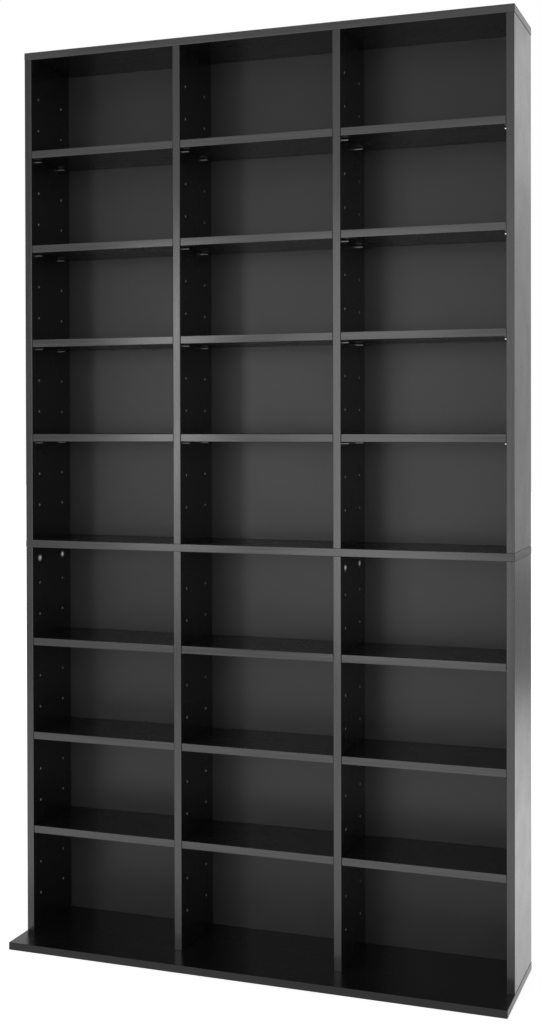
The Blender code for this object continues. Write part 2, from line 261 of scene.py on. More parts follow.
def thread(start: float, pitch: float, count: int, ring: Marks) -> Marks:
    """Return the outline of a thread, drawn as a stack of rings.

    Args:
        start: The height where it starts.
        pitch: The height of one ring.
        count: How many rings it has.
        ring: One ring's points, each a radius and its height as a share of the pitch.

    Returns:
        The points, each a radius and a height, lowest first.
    """
    return tuple((radius, start + (index + share) * pitch)
                 for index in range(count) for radius, share in ring)


def add_cross(span: float, width: float, low: float, high: float) -> Object:
    """Add a plus-shaped cutter about Z, for the drive cross of a fastener.

    Args:
        span: How far it reaches from tip to tip.
        width: How wide its arms are.
        low: Its lowest height.
        high: Its highest height.

    Returns:
        The new cutter.
    """
    half = width / 2
    cutter = add_block("cross", Vector((-half, -half, low)), Vector((half, half, high)))
    for x, y in ((1, 0), (-1, 0), (0, 1), (0, -1)):
        outwards = Vector((x, y, 0))
        with editing(cutter, Part.FACE):
            pick(cutter, Part.FACE, lambda face: (
                face.normal.dot(outwards) > FACING
                and face.calc_center_median().dot(outwards) < width))
            bpy.ops.mesh.extrude_region_move(
                TRANSFORM_OT_translate={"value": outwards * (span / 2 - half)})
    return cutter


def round_edges(piece: Object, radius: float, segments: int, test: Callable[..., bool]) -> None:
    """Round the edges of a piece that pass a test.

    Args:
        piece: The piece.
        radius: The rounding's radius.
        segments: How many faces make up the rounding.
        test: Says of an edge whether it is rounded.
    """
    with editing(piece, Part.EDGE):
        pick(piece, Part.EDGE, test)
        bpy.ops.mesh.bevel(
            offset=radius, offset_type="OFFSET", segments=segments, profile=0.5,
            affect="EDGES", clamp_overlap=True)


def part_line(piece: Object, point: Vector, normal: Vector) -> None:
    """Divide the faces of a piece along a plane.

    Args:
        piece: The piece.
        point: A point of the plane.
        normal: The plane's normal.
    """
    with editing(piece, Part.FACE):
        bpy.ops.mesh.select_all(action="SELECT")
        bpy.ops.mesh.bisect(plane_co=point, plane_no=normal)


def carve(piece: Object, cutters: Sequence[Object], inside: Material) -> None:
    """Cut shapes out of a piece and give the cut faces a material.

    Args:
        piece: The piece that is cut.
        cutters: The shapes to take away, none touching another. They are used up.
        inside: The material that the cut lays bare.
    """
    cutter = cutters[0]
    activate(cutter)
    if len(cutters) > 1:
        for other in cutters[1:]:
            other.select_set(True)
        bpy.ops.object.join()
    cutter.data.materials.clear()
    cutter.data.materials.append(inside)
    modifier = piece.modifiers.new("carve", "BOOLEAN")
    modifier.operation = "DIFFERENCE"
    modifier.solver = "EXACT"
    modifier.material_mode = "TRANSFER"
    modifier.object = cutter
    activate(piece)
    bpy.ops.object.modifier_apply(modifier=modifier.name)
    bpy.data.objects.remove(cutter, do_unlink=True)


def paint(piece: Object, material: Material,
          test: Callable[[bpy.types.MeshPolygon], bool]) -> None:
    """Give a material to the faces of a piece that pass a test.

    Args:
        piece: The piece.
        material: The material, which gets a slot of its own.
        test: Says of a face whether it is painted.
    """
    names = [slot.name for slot in piece.data.materials]
    if material.name not in names:
        piece.data.materials.append(material)
        names.append(material.name)
    for face in piece.data.polygons:
        if test(face):
            face.material_index = names.index(material.name)


def smooth(piece: Object, angle: float) -> None:
    """Shade a piece smooth up to an angle, with its flat faces kept flat.

    Args:
        piece: The piece.
        angle: The largest angle between faces, in radians, that is shaded over.
    """
    activate(piece)
    bpy.ops.object.shade_smooth_by_angle(angle=angle)
    modifier = piece.modifiers.new("weigh", "WEIGHTED_NORMAL")
    modifier.keep_sharp = True
    bpy.ops.object.modifier_apply(modifier=modifier.name)


def fit(piece: Object, body: str, slot: Slot, node: str = "") -> None:
    """Hang a finished piece on its body and hide the node that it stands for.

    Args:
        piece: The piece.
        body: The body that it moves with.
        slot: The record's slot that gives its finish. Not used.
        node: The solid that it replaces, or nothing.
    """
    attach(piece, body)
    if node:
        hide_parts(node)


@dataclass(frozen=True)
class Spot:
    """Where a copy of a pattern goes, what it is called and what it stands for."""

    name: str
    place: Matrix
    node: str = ""
    body: str = CARCASS_BODY


def set_out(pattern: Object, slot: Slot, spots: Iterable[Spot]) -> list[Object]:
    """Put a copy of a pattern, with its own mesh, on every spot and drop the pattern.

    Args:
        pattern: The piece to copy.
        slot: The record's slot that gives the copies' finish. Not used: it is only passed on to
            fit.
        spots: Where the copies go.

    Returns:
        The copies.
    """
    pieces = []
    for spot in spots:
        piece = pattern.copy()
        piece.data = pattern.data.copy()
        piece.name = spot.name
        piece.data.name = spot.name
        piece.data.transform(spot.place)
        bpy.context.scene.collection.objects.link(piece)
        fit(piece, spot.body, slot, spot.node)
        pieces.append(piece)
    bpy.data.objects.remove(pattern, do_unlink=True)
    return pieces


def middle_of(node: str) -> Vector:
    """Return the middle of a node's box."""
    low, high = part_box(node)
    return (low + high) / 2


def foot_of(node: str) -> Matrix:
    """Return the place of the middle of a node's underside, as a move from the origin."""
    middle = middle_of(node)
    return Matrix.Translation(Vector((middle.x, middle.y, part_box(node)[0].z)))


def report(label: str, pieces: Sequence[Object]) -> None:
    """Log how many pieces a sub-assembly has and how many faces they hold."""
    faces = sum(len(piece.data.polygons) for piece in pieces)
    LOG.info("%s: %d pieces, %d faces", label, len(pieces), faces)


# Finishes


class Graph:
    """A node tree, with short calls to fill it."""

    def __init__(self, tree: bpy.types.NodeTree) -> None:
        """Take up this tree."""
        self.tree = tree

    def add(self, kind: str, inputs: dict[str | int, Socket | float | Triple] | None = None,
            **settings: str) -> bpy.types.Node:
        """Add a node.

        Args:
            kind: The kind of node.
            inputs: What goes into its sockets, by name or number: an output or a value.
            settings: Its settings, such as an operation.

        Returns:
            The new node.
        """
        node = self.tree.nodes.new(kind)
        for name, value in settings.items():
            setattr(node, name, value)
        for name, value in (inputs or {}).items():
            self.feed(node.inputs[name], value)
        return node

    def feed(self, target: Socket, value: Socket | float | Triple) -> None:
        """Link an output to a socket, or set the socket's own value.

        Args:
            target: The socket.
            value: The output or the value.
        """
        if isinstance(value, Socket):
            self.tree.links.new(value, target)
        else:
            target.default_value = value

    def place(self) -> Socket:
        """Return the object coordinates."""
        return self.add("ShaderNodeTexCoord").outputs["Object"]

    def spread(self, value: Socket, start: float, end: float,
               low: float = 0.0, high: float = 1.0) -> Socket:
        """Return a value spread between two numbers.

        Args:
            value: The value to spread.
            start: The value that gives the low result.
            end: The value that gives the high result.
            low: The low result.
            high: The high result.

        Returns:
            The spread value.
        """
        return self.add("ShaderNodeMapRange", {
            "Value": value, "From Min": start, "From Max": end, "To Min": low, "To Max": high,
        }).outputs["Result"]

    def math(self, operation: str, first: Socket, second: Socket | float) -> Socket:
        """Return the result of a sum on two values.

        Args:
            operation: The kind of sum.
            first: The first value.
            second: The second value, or a fixed number.

        Returns:
            The result.
        """
        node = self.add("ShaderNodeMath", {0: first, 1: second}, operation=operation)
        return node.outputs["Value"]

    def curve(self, value: Socket, marks: Marks, brightest: float) -> Socket:
        """Return the height of a curve through marks.

        Args:
            value: The value that runs along the curve.
            marks: The curve's points, each a value and the height there.
            brightest: A height that none of the marks passes.

        Returns:
            The height.
        """
        start, end = marks[0][0], marks[-1][0]
        node = self.add("ShaderNodeValToRGB", {"Fac": self.spread(value, start, end)})
        stops = node.color_ramp.elements
        while len(stops) < len(marks):
            stops.new(1.0)
        for stop, (place, height) in zip(stops, marks):
            stop.position = (place - start) / (end - start)
            share = height / brightest
            stop.color = (share, share, share, 1)
        return self.math("MULTIPLY", node.outputs["Color"], brightest)

    def choose(self, share: Socket, first: Socket, second: Socket) -> Socket:
        """Return the first value where the share is 0 and the second where it is 1.

        Args:
            share: The share of the second value.
            first: The first value.
            second: The second value.

        Returns:
            The value between them.
        """
        node = self.add("ShaderNodeMix", data_type="FLOAT")
        self.feed(node.inputs["Factor"], share)
        self.feed(node.inputs["A"], first)
        self.feed(node.inputs["B"], second)
        return node.outputs["Result"]

    def tint(self, share: Socket, first: Triple, second: Triple) -> Socket:
        """Return the first colour where the share is 0 and the second where it is 1.

        Args:
            share: The share of the second colour.
            first: The first colour.
            second: The second colour.

        Returns:
            The colour between them.
        """
        node = self.add("ShaderNodeMix", {"Factor": share}, data_type="RGBA")
        colours = [socket for socket in node.inputs if socket.type == "RGBA"]
        colours[0].default_value = (*first, 1)
        colours[1].default_value = (*second, 1)
        return [socket for socket in node.outputs if socket.type == "RGBA"][0]


@dataclass(frozen=True)
class Pattern:
    """A noise, or the cells of scattered points, and how far it raises the surface."""

    fineness: float
    detail: float = 2.0
    stretch: Triple = (1.0, 1.0, 1.0)
    cells: bool = False
    depth: float = 0.0
    strength: float = 0.0

    def draw(self, graph: Graph) -> Socket:
        """Return the pattern's value over the object.

        Args:
            graph: The material's node tree.

        Returns:
            The value.
        """
        if self.cells:
            return graph.add("ShaderNodeTexVoronoi", {
                "Scale": self.fineness, "Vector": graph.place(),
            }).outputs["Distance"]
        mapped = graph.add("ShaderNodeMapping", {"Scale": self.stretch, "Vector": graph.place()})
        return graph.add("ShaderNodeTexNoise", {
            "Scale": self.fineness, "Detail": self.detail, "Vector": mapped.outputs["Vector"],
        }).outputs["Fac"]


@dataclass(frozen=True)
class Finish:
    """A surface whose colour and gloss drift with one pattern and that others raise."""

    name: str
    dark: Triple
    light: Triple
    smoothest: float
    roughest: float
    drift: Pattern
    relief: tuple[Pattern, ...]
    metallic: float = 0.0
    gloss: float = 0.5
    drift_start: float = 0.3
    drift_end: float = 0.7

    def make(self) -> Material:
        """Build the material.

        Returns:
            The material.
        """
        material = bpy.data.materials.new(self.name)
        material.use_nodes = True
        graph = Graph(material.node_tree)
        drift = self.drift.draw(graph)
        span = (self.drift_start, self.drift_end)
        values = {
            "Base Color": graph.tint(graph.spread(drift, *span), self.dark, self.light),
            "Roughness": graph.spread(drift, *span, self.smoothest, self.roughest),
            "Metallic": self.metallic,
            "Specular IOR Level": self.gloss,
        }
        for pattern in self.relief:
            height = drift if pattern == self.drift else pattern.draw(graph)
            bump = graph.add("ShaderNodeBump", {
                "Height": height, "Distance": pattern.depth, "Strength": pattern.strength,
            })
            if "Normal" in values:
                graph.feed(bump.inputs["Normal"], values["Normal"])
            values["Normal"] = bump.outputs["Normal"]
        shader = material.node_tree.nodes["Principled BSDF"]
        for name, value in values.items():
            graph.feed(shader.inputs[name], value)
        return material


@dataclass(frozen=True)
class BoardFinish(Finish):
    """Black melamine facing: a fine pearl grain, satin, with faint cloudy patches."""

    name: str = "black_melamine"
    dark: Triple = (0.0042, 0.0042, 0.0043)
    light: Triple = (0.0066, 0.0066, 0.0067)
    smoothest: float = 0.24
    roughest: float = 0.29
    drift: Pattern = Pattern(14.0, 3.0)
    relief: tuple[Pattern, ...] = (Pattern(1500.0, depth=0.00002, strength=0.03),)


@dataclass(frozen=True)
class BandFinish:
    """Black edge banding, with the fine ridges that the roller drew along it."""

    run: Run
    dark: Triple
    light: Triple
    gloss: float
    smoothest: float
    roughest: float
    streaks: float = 260.0
    ridges: float = 1500.0
    ridge_depth: float = 0.0002
    ridge_strength: float = 0.12
    grain: Pattern = Pattern(1800.0, depth=0.00003, strength=0.12)

    def make(self) -> Material:
        """Build the material.

        Returns:
            The material.
        """
        ridges = Pattern(self.ridges, 1.0, self.run.value, depth=self.ridge_depth,
                         strength=self.ridge_strength)
        return Finish(
            name=f"black_edge_band_{self.run.name.lower()}", dark=self.dark, light=self.light,
            smoothest=self.smoothest, roughest=self.roughest,
            drift=Pattern(self.streaks, stretch=self.run.value), relief=(ridges, self.grain),
            gloss=self.gloss).make()


# Shelves and long boards carry a band coloured lighter than the uprights': painted sheen for the
# brighter light their edges catch. Their ends carry a dull band
BANDS = (
    BandFinish(Run.LEVEL, (0.049, 0.049, 0.0495), (0.072, 0.072, 0.0727), 0.52, 0.12, 0.17),
    BandFinish(Run.UPRIGHT, (0.0180, 0.0180, 0.0182), (0.0280, 0.0280, 0.0283), 0.78, 0.16, 0.22),
    BandFinish(Run.END, (0.0280, 0.0280, 0.0283), (0.0400, 0.0400, 0.0404), 0.10, 0.18, 0.26),
)


@dataclass(frozen=True)
class BackFinish(Finish):
    """Painted front of the thin backs: a rolled, slightly pebbled black film."""

    name: str = "painted_hardboard"
    dark: Triple = (0.0260, 0.0260, 0.0263)
    light: Triple = (0.0340, 0.0340, 0.0344)
    smoothest: float = 0.29
    roughest: float = 0.35
    drift: Pattern = Pattern(9.0, 4.0)
    relief: tuple[Pattern, ...] = (Pattern(900.0, depth=0.00004, strength=0.12),)
    gloss: float = 0.38


@dataclass(frozen=True)
class FibreFinish(Finish):
    """Unpainted rear of the hardboard: dark matted fibre with the press screen's print."""

    name: str = "pressed_fibre"
    dark: Triple = (0.020, 0.017, 0.015)
    light: Triple = (0.042, 0.036, 0.031)
    smoothest: float = 0.62
    roughest: float = 0.80
    drift: Pattern = Pattern(420.0, 5.0)
    relief: tuple[Pattern, ...] = (Pattern(650.0, cells=True, depth=0.00015, strength=0.35),)


@dataclass(frozen=True)
class CoreFinish(Finish):
    """Pressed chips of the board's core, laid bare where it is drilled or grooved."""

    name: str = "chip_core"
    dark: Triple = (0.24, 0.23, 0.22)
    light: Triple = (0.50, 0.48, 0.46)
    smoothest: float = 0.75
    roughest: float = 0.95
    drift: Pattern = Pattern(700.0, 3.0)
    relief: tuple[Pattern, ...] = (Pattern(700.0, cells=True, depth=0.0002, strength=0.5),)
    gloss: float = 0.2


@dataclass(frozen=True)
class CastFinish(Finish):
    """Die-cast zinc of the cam locks: pale, faintly orange-peeled and dulled in patches."""

    name: str = "cast_zinc"
    dark: Triple = (0.52, 0.52, 0.53)
    light: Triple = (0.72, 0.72, 0.73)
    smoothest: float = 0.28
    roughest: float = 0.42
    drift: Pattern = Pattern(420.0, 3.0)
    relief: tuple[Pattern, ...] = (Pattern(1600.0, depth=0.00005, strength=0.25),)
    metallic: float = 1.0


@dataclass(frozen=True)
class PlatedFinish(Finish):
    """Bright plating on turned steel, with fine marks of the lathe."""

    name: str = "bright_plating"
    dark: Triple = (0.58, 0.58, 0.59)
    light: Triple = (0.74, 0.74, 0.75)
    smoothest: float = 0.06
    roughest: float = 0.12
    drift: Pattern = Pattern(500.0)
    relief: tuple[Pattern, ...] = (Pattern(2600.0, 1.0, depth=0.00002, strength=0.2),)
    metallic: float = 1.0


@dataclass(frozen=True)
class BeechFinish(Finish):
    """Turned beech of the dowels, with short dark flecks along the grain."""

    name: str = "turned_beech"
    dark: Triple = (0.42, 0.27, 0.15)
    light: Triple = (0.62, 0.45, 0.28)
    smoothest: float = 0.55
    roughest: float = 0.70
    drift: Pattern = Pattern(1500.0, 3.0, (1.0, 1.0, 0.12), depth=0.00005, strength=0.3)
    relief: tuple[Pattern, ...] = (drift,)


class Palette:
    """Every finish of the rack, made once and shared by its pieces."""

    def __init__(self) -> None:
        """Make the materials."""
        self.board = BoardFinish().make()
        self.bands = {band.run: band.make() for band in BANDS}
        self.back = BackFinish().make()
        self.fibre = FibreFinish().make()
        self.core = CoreFinish().make()
        self.cast = CastFinish().make()
        self.plated = PlatedFinish().make()
        self.beech = BeechFinish().make()


# Where things are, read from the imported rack


@dataclass(frozen=True)
class Upright:
    """One side or divider: where it stands and what it carries."""

    module: Module
    name: str
    centre: float
    front: float
    rear: float
    foot: float
    head: float
    pins: tuple[float, ...]
    holes: tuple[float, ...]

    @property
    def node(self) -> str:
        """The name of its node."""
        return f"{self.module.value}_{self.name}"

    @property
    def faces(self) -> tuple[int, ...]:
        """The signs along X of its faces that look into a cell."""
        return CELL_FACES[self.name]


@dataclass(frozen=True)
class Places:
    """Sizes shared by the sub-assemblies, and the places worked out from the frame."""

    thickness: float = 0.015
    seat_gap: float = 0.0003
    holes_to_a_pitch: int = 3
    pin_radius: float = 0.0025
    dowel_offset: float = 0.024

    def shelf_nodes(self, module: Module, column: str) -> list[str]:
        """Return the shelves of one column of a module, lowest first."""
        start = f"{module.value}_{column}_shelf_"
        return sorted(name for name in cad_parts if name.startswith(start))

    def rows(self) -> list[float]:
        """Return the Y of the front and the rear row of pins, which the cams share."""
        return [middle_of(f"lower_left_side_{row}_cam").y for row in ROWS]

    def dowel_rows(self) -> list[float]:
        """Return the Y of the front and the rear dowels, between the pin rows."""
        front, rear = self.rows()
        return [front + self.dowel_offset, rear - self.dowel_offset]

    def heights(self, module: Module) -> tuple[tuple[float, ...], tuple[float, ...]]:
        """Return the heights of a module's shelf pins and of its open holes.

        Args:
            module: The module.

        Returns:
            The heights of the pins, then those of the holes between them.
        """
        bottoms = [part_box(node)[0].z for node in self.shelf_nodes(module, COLUMNS[0])]
        pins = [bottom - self.seat_gap - self.pin_radius for bottom in bottoms]
        step = (pins[1] - pins[0]) / self.holes_to_a_pitch
        spare = self.holes_to_a_pitch - 1
        first = pins[0] - spare * step
        count = len(pins) * self.holes_to_a_pitch + spare
        holes = [first + index * step for index in range(count)
                 if index % self.holes_to_a_pitch != spare]
        return tuple(pins), tuple(holes)

    def uprights(self) -> list[Upright]:
        """Return every side and divider, the lower module's first.

        Returns:
            The uprights.
        """
        found = []
        for module, below, above in zip(Module, LONG_BOARDS, LONG_BOARDS[1:]):
            pins, holes = self.heights(module)
            for name, faces in CELL_FACES.items():
                low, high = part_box(f"{module.value}_{name}")
                centre = (low.x + high.x) / 2
                if len(faces) == 1:
                    outside = low.x if faces[0] > 0 else high.x
                    centre = outside + faces[0] * self.thickness / 2
                found.append(Upright(
                    module=module, name=name, centre=centre, front=low.y, rear=high.y,
                    foot=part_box(below)[1].z + self.seat_gap,
                    head=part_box(above)[0].z - self.seat_gap, pins=pins, holes=holes))
        return found


# The rack's sub-assemblies


@dataclass(frozen=True)
class Joinery:
    """The boards' shared workmanship: roundings, banding and drilled holes."""

    arris: float = 0.0009
    arris_segments: int = 3
    outer_layer: float = 0.005
    band: float = 0.0006
    pin_hole_radius: float = 0.0026
    pin_hole_depth: float = 0.010
    dowel_radius: float = 0.0041
    dowel_proud: float = 0.0105
    dowel_embed: float = 0.0185
    bolt_radius: float = 0.0037
    thread_radius: float = 0.0027
    thread_depth: float = 0.0095

    def edge_board(self, name: str, low: Vector, high: Vector, palette: Palette,
                   run: Run) -> Object:
        """Make a board with rounded arrises and banded edges.

        Args:
            name: The piece's name.
            low: Its lowest corner.
            high: Its highest corner.
            palette: The finishes.
            run: How the board lies. The end edges of one that stands stay square,
                but for the two on the rack's outer face, which are broken.

        Returns:
            The board, faced and banded.
        """
        piece = add_block(name, low, high)
        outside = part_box(MIDDLE_BOARD)[1].x - self.outer_layer

        def rounded(edge: bmesh.types.BMEdge) -> bool:
            """Tell whether an edge is rounded.

            Args:
                edge: The edge.

            Returns:
                Whether it is.
            """
            start, end = (corner.co for corner in edge.verts)
            is_level = abs(start.z - end.z) < self.arris
            is_outside = min(abs(start.x), abs(end.x)) > outside
            return run is not Run.UPRIGHT or not is_level or is_outside

        front, rear = low.y + self.band, high.y - self.band
        round_edges(piece, self.arris, self.arris_segments, rounded)
        for y in (front, rear):
            part_line(piece, Vector((0, y, 0)), Vector((0, 1, 0)))
        piece.data.materials.append(palette.board)
        paint(piece, palette.bands[run], lambda face: not front < face.center.y < rear)
        return piece


@dataclass(frozen=True)
class LongBoards:
    """The base, middle and top boards, drilled for dowels, bolts and screws."""

    joinery: Joinery
    places: Places
    screw_clearance: float = 0.0002
    screw_shank: float = 0.0022
    screw_head_height: float = 0.0031

    def centres(self) -> list[float]:
        """Return the X of the uprights that stand on a board."""
        return [each.centre for each in self.places.uprights() if each.module is Module.UPPER]

    def dowel_holes(self, surface: float, direction: int) -> list[Object]:
        """Return drills for the dowels that enter one face of a board.

        Args:
            surface: The height of the face.
            direction: 1 for a face that looks up, or -1.

        Returns:
            The drills.
        """
        floor = surface - direction * self.joinery.dowel_proud
        mouth = surface + direction * OVERRUN
        return [
            add_rod(Vector((x, y, floor)), Vector((x, y, mouth)), self.joinery.dowel_radius)
            for x in self.centres() for y in self.places.dowel_rows()]

    def bolt_holes(self, bottom: float) -> list[Object]:
        """Return drills for the cam bolts that are screwed up into a board.

        Args:
            bottom: The height of the board's underside.

        Returns:
            The drills.
        """
        mouth = bottom - OVERRUN
        floor = bottom + self.joinery.thread_depth
        return [
            add_rod(Vector((x, y, mouth)), Vector((x, y, floor)), self.joinery.thread_radius)
            for x in self.centres() for y in self.places.rows()]

    def screw_holes(self, thickness: float) -> list[Object]:
        """Return countersinking drills for the foot screws.

        Args:
            thickness: The thickness of the base board.

        Returns:
            The drills.
        """
        drills = []
        for name in CELL_FACES:
            low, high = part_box(f"lower_{name}_foot_screw")
            mouth = (high.x - low.x) / 2 + self.screw_clearance
            drill = add_turned("drill", (
                (mouth, -OVERRUN),
                (mouth, low.z),
                (self.screw_shank, low.z + self.screw_head_height),
                (self.screw_shank, thickness + OVERRUN),
            ), HOLE_SIDES)
            middle = (low + high) / 2
            drill.data.transform(Matrix.Translation(Vector((middle.x, middle.y, 0))))
            drills.append(drill)
        return drills

    def build(self, palette: Palette) -> list[Object]:
        """Make the three boards and hang them on the carcass.

        Args:
            palette: The finishes.

        Returns:
            The boards.
        """
        pieces = []
        for node in LONG_BOARDS:
            low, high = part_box(node)
            piece = self.joinery.edge_board(node + "_laminated", low, high, palette, Run.LEVEL)
            paint(piece, palette.bands[Run.END], lambda face: (
                abs(face.center.x) > high.x - self.joinery.band))
            if node == BASE_BOARD:
                # Painted shade: the base's front edge takes the darker black facing instead of the
                # level band's sheen
                paint(piece, palette.board, lambda face: face.center.y < low.y + self.joinery.band)
                drills = self.dowel_holes(high.z, 1) + self.screw_holes(high.z)
            elif node == MIDDLE_BOARD:
                drills = self.dowel_holes(high.z, 1) + self.bolt_holes(low.z)
            else:
                drills = self.dowel_holes(low.z, -1)
            carve(piece, drills, palette.core)
            smooth(piece, BOARD_ANGLE)
            fit(piece, CARCASS_BODY, Slot.LAMINATE, node)
            pieces.append(piece)
        return pieces


@dataclass(frozen=True)
class Sides:
    """The sides and dividers, with their grooves, pin holes and cam pockets."""

    joinery: Joinery
    places: Places
    groove_depth: float = 0.005
    groove_clearance: float = 0.0003
    cam_clearance: float = 0.0002
    cam_sides: int = 32

    def pin_holes(self, upright: Upright) -> list[Object]:
        """Return drills for the pin holes: blind in a side, through in a divider.

        Args:
            upright: The upright that is drilled.

        Returns:
            The drills.
        """
        half = self.places.thickness / 2
        face = upright.faces[-1]
        outer = half + OVERRUN
        inner = -outer if len(upright.faces) > 1 else half - self.joinery.pin_hole_depth
        return [
            add_rod(Vector((upright.centre + face * inner, y, height)),
                    Vector((upright.centre + face * outer, y, height)),
                    self.joinery.pin_hole_radius)
            for height in sorted((*upright.holes, *upright.pins)) for y in self.places.rows()]

    def grooves(self, upright: Upright) -> list[Object]:
        """Return cutters for the grooves that the backs slide in.

        Args:
            upright: The upright that is grooved.

        Returns:
            The cutters.
        """
        low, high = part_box(f"{upright.module.value}_{COLUMNS[0]}_back")
        half = self.places.thickness / 2
        cutters = []
        for face in upright.faces:
            near, far = sorted((upright.centre + face * (half - self.groove_depth),
                                upright.centre + face * (half + OVERRUN)))
            cutters.append(add_block(
                "groove", Vector((near, low.y - self.groove_clearance, upright.foot - OVERRUN)),
                Vector((far, high.y + self.groove_clearance, upright.head + OVERRUN))))
        return cutters

    def dowel_holes(self, upright: Upright) -> list[Object]:
        """Return drills for the dowels glued into an upright's ends.

        Args:
            upright: The upright that is drilled.

        Returns:
            The drills.
        """
        ends = [(upright.foot, 1)]
        if upright.module is Module.UPPER:
            ends.append((upright.head, -1))
        return [
            add_rod(Vector((upright.centre, y, end - direction * OVERRUN)),
                    Vector((upright.centre, y, end + direction * self.joinery.dowel_embed)),
                    self.joinery.dowel_radius)
            for end, direction in ends for y in self.places.dowel_rows()]

    def cam_pockets(self, upright: Upright) -> list[Object]:
        """Return drills for the pockets that the cam locks sit in.

        Args:
            upright: The upright that is drilled.

        Returns:
            The drills.
        """
        drills = []
        for row in ROWS:
            low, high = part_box(f"{upright.node}_{row}_cam")
            middle = (low + high) / 2
            side = 1 if middle.x > upright.centre else -1
            mouth = upright.centre + side * (self.places.thickness / 2 + OVERRUN)
            floor = (low.x if side > 0 else high.x) - side * self.cam_clearance
            drills.append(add_rod(
                Vector((floor, middle.y, middle.z)), Vector((mouth, middle.y, middle.z)),
                (high.z - low.z) / 2 + self.cam_clearance, self.cam_sides))
        return drills

    def bolt_holes(self, upright: Upright) -> list[Object]:
        """Return drills from an upright's top end down to its cams.

        Args:
            upright: The upright that is drilled.

        Returns:
            The drills.
        """
        drills = []
        for row in ROWS:
            low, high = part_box(f"{upright.node}_{row}_cam_bolt")
            y = (low.y + high.y) / 2
            drills.append(add_rod(
                Vector((upright.centre, y, low.z - self.cam_clearance)),
                Vector((upright.centre, y, upright.head + OVERRUN)),
                self.joinery.bolt_radius))
        return drills

    def screw_hole(self, upright: Upright) -> Object:
        """Return the drill for an upright's foot screw.

        Args:
            upright: The upright that is drilled.

        Returns:
            The drill.
        """
        low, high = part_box(f"{upright.node}_foot_screw")
        middle = (low + high) / 2
        return add_rod(
            Vector((middle.x, middle.y, upright.foot - OVERRUN)),
            Vector((middle.x, middle.y, high.z + self.cam_clearance)),
            self.joinery.thread_radius)

    def build(self, palette: Palette) -> list[Object]:
        """Make the eight uprights and hang them on the carcass.

        Args:
            palette: The finishes.

        Returns:
            The uprights.
        """
        pieces = []
        half = self.places.thickness / 2
        for upright in self.places.uprights():
            piece = self.joinery.edge_board(
                upright.node + "_laminated",
                Vector((upright.centre - half, upright.front, upright.foot)),
                Vector((upright.centre + half, upright.rear, upright.head)),
                palette, Run.UPRIGHT)
            carve(piece, self.grooves(upright) + self.pin_holes(upright)
                  + self.dowel_holes(upright), palette.core)
            if upright.module is Module.LOWER:
                carve(piece, [*self.cam_pockets(upright), self.screw_hole(upright)], palette.core)
                carve(piece, self.bolt_holes(upright), palette.core)
            smooth(piece, BOARD_ANGLE)
            fit(piece, CARCASS_BODY, Slot.LAMINATE, upright.node)
            pieces.append(piece)
        return pieces


@dataclass(frozen=True)
class Shelves:
    """The loose shelves, one shape copied to every level."""

    joinery: Joinery
    places: Places

    def build(self, palette: Palette) -> list[Object]:
        """Make the shelves, each on its own sliding body.

        Args:
            palette: The finishes.

        Returns:
            The shelves.
        """
        nodes = [node for module in Module for column in COLUMNS
                 for node in self.places.shelf_nodes(module, column)]
        low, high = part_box(nodes[0])
        pattern = self.joinery.edge_board("shelf_pattern", low, high, palette, Run.LEVEL)
        smooth(pattern, BOARD_ANGLE)
        middle = (low + high) / 2
        return set_out(pattern, Slot.LAMINATE, (
            Spot(node + "_laminated", Matrix.Translation(middle_of(node) - middle), node, node)
            for node in nodes))


@dataclass(frozen=True)
class Backs:
    """The thin backs: painted in front, bare fibre behind."""

    edge: float = 0.0003
    edge_segments: int = 2
    seat: float = 0.0003

    def build(self, palette: Palette) -> list[Object]:
        """Make the six backs, standing on their boards, and hang them on the carcass.

        Args:
            palette: The finishes.

        Returns:
            The backs.
        """
        pieces = []
        seat = UP * self.seat
        for node in (f"{module.value}_{column}_back" for module in Module for column in COLUMNS):
            low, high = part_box(node)
            piece = add_block(node + "_painted", low - seat, high + seat)
            round_edges(piece, self.edge, self.edge_segments, lambda edge: True)
            piece.data.materials.append(palette.back)
            paint(piece, palette.fibre, lambda face: face.normal.y > 0)
            smooth(piece, BOARD_ANGLE)
            fit(piece, CARCASS_BODY, Slot.HARDBOARD, node)
            pieces.append(piece)
        return pieces


@dataclass(frozen=True)
class ShelfPins:
    """The steel pins that carry the shelves: one turned pin copied to every hole."""

    places: Places
    proud: float = 0.008
    embed: float = 0.007
    dome: float = 0.0004
    dome_share: float = 0.82
    dome_rise_share: float = 1 / 3
    tip_share: float = 0.35
    sides: int = 20

    def pattern(self, palette: Palette) -> Object:
        """Turn one pin along Z, its face with the board at the origin.

        Args:
            palette: The finishes.

        Returns:
            The pin.
        """
        radius = self.places.pin_radius
        rise = self.dome * self.dome_rise_share
        piece = add_turned("pin_pattern", (
            (radius * self.tip_share, -self.embed),
            (radius * self.dome_share, -self.embed + rise),
            (radius, -self.embed + self.dome),
            (radius, self.proud - self.dome),
            (radius * self.dome_share, self.proud - rise),
            (radius * self.tip_share, self.proud),
        ), self.sides)
        piece.data.materials.append(palette.plated)
        smooth(piece, TURNED_ANGLE)
        return piece

    def spots(self) -> Iterator[Spot]:
        """Give the places under the shelves' ends, upright by upright.

        Yields:
            The place of each pin.
        """
        for upright in self.places.uprights():
            for face in upright.faces:
                turn = Matrix.Rotation(face * math.pi / 2, 4, "Y")
                x = upright.centre + face * self.places.thickness / 2
                for level, height in enumerate(upright.pins, start=1):
                    for row, y in zip(ROWS, self.places.rows()):
                        yield Spot(f"{upright.node}_{FACE_NAMES[face]}_{row}_pin_{level}",
                                   Matrix.Translation(Vector((x, y, height))) @ turn)

    def build(self, palette: Palette) -> list[Object]:
        """Put a pin into each hole under a shelf's end."""
        return set_out(self.pattern(palette), Slot.STEEL, self.spots())


